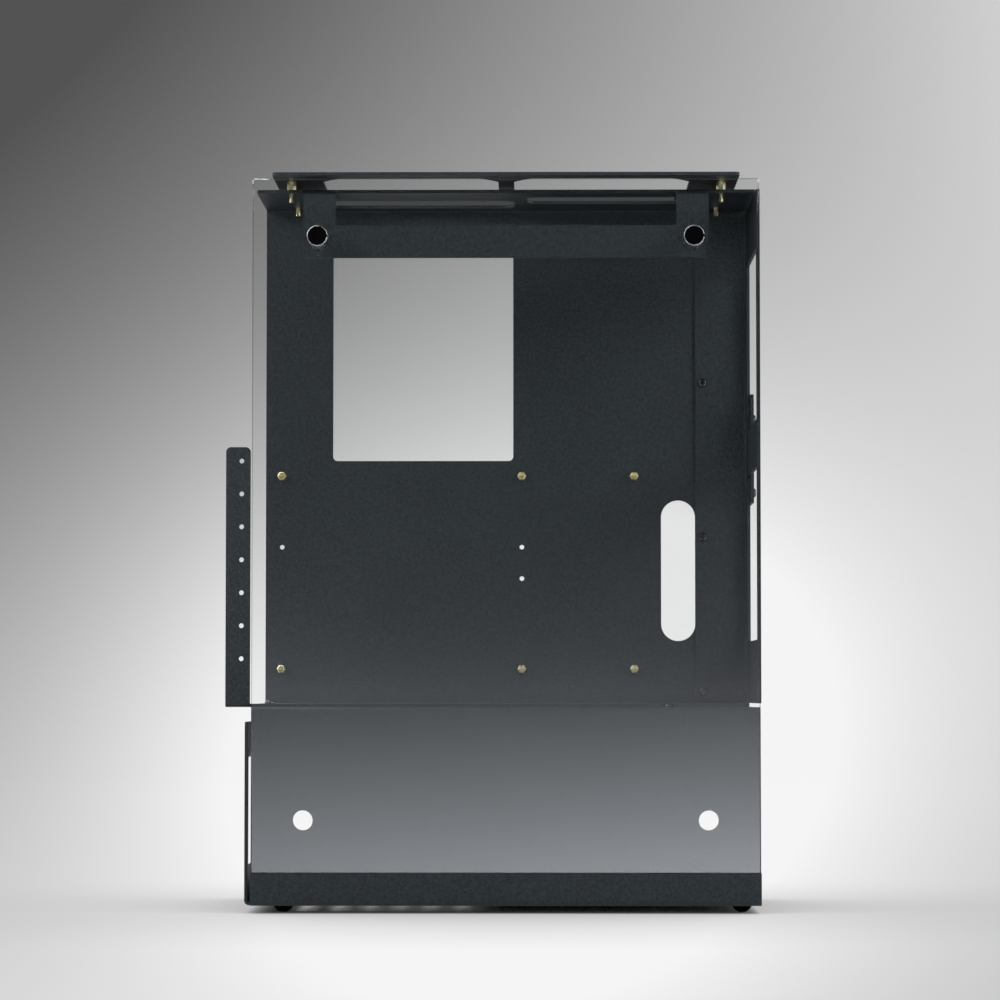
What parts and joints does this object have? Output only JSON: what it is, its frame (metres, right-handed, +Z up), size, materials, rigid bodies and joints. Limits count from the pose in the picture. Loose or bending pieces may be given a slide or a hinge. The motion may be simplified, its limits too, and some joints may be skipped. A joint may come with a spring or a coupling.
{
  "type": "open air test bench",
  "caption": "Open air test bench of folded dark sheet metal, with an upright motherboard tray, clear glass front, power supply shroud and a fan plate on top",
  "frame": {"origin": "on the floor, under the middle of the outline", "axes": "+Z up, the glass side faces -Y, +X to the right as seen from the glass side"},
  "size_m": [0.333, 0.1746, 0.4586],
  "materials": {
    "coat": "wrinkle powder coat, anthracite",
    "chrome": "polished",
    "brass": "plain brass",
    "clear_glass": "clear, polished edges",
    "black_rubber": "matt black",
    "black_screws": "black oxide"
  },
  "bodies": {
    "root": {"base_tray": "coat", "psu_shroud": "coat", "motherboard_tray": "coat", "side_panel": "coat", "accessory_plate": "coat", "top_plate": "coat", "glass_bracket": "coat", "expansion_strip": "coat", "side_glass": "clear_glass", "post_left": "chrome", "post_right": "chrome", "post_pads": "black_rubber", "board_standoffs": "brass", "plate_standoffs": "brass", "plate_screws": "black_screws", "panel_screws": "black_screws", "accessory_screws": "black_screws", "bracket_screws": "black_screws", "post_screws": "black_screws", "button_screws": "black_screws", "tray_screws": "black_screws", "shroud_screws": "black_screws", "psu_pads": "black_rubber", "foot_front_left": "black_rubber", "foot_front_right": "black_rubber", "foot_rear_left": "black_rubber", "foot_rear_right": "black_rubber"}
  },
  "joints": []
}
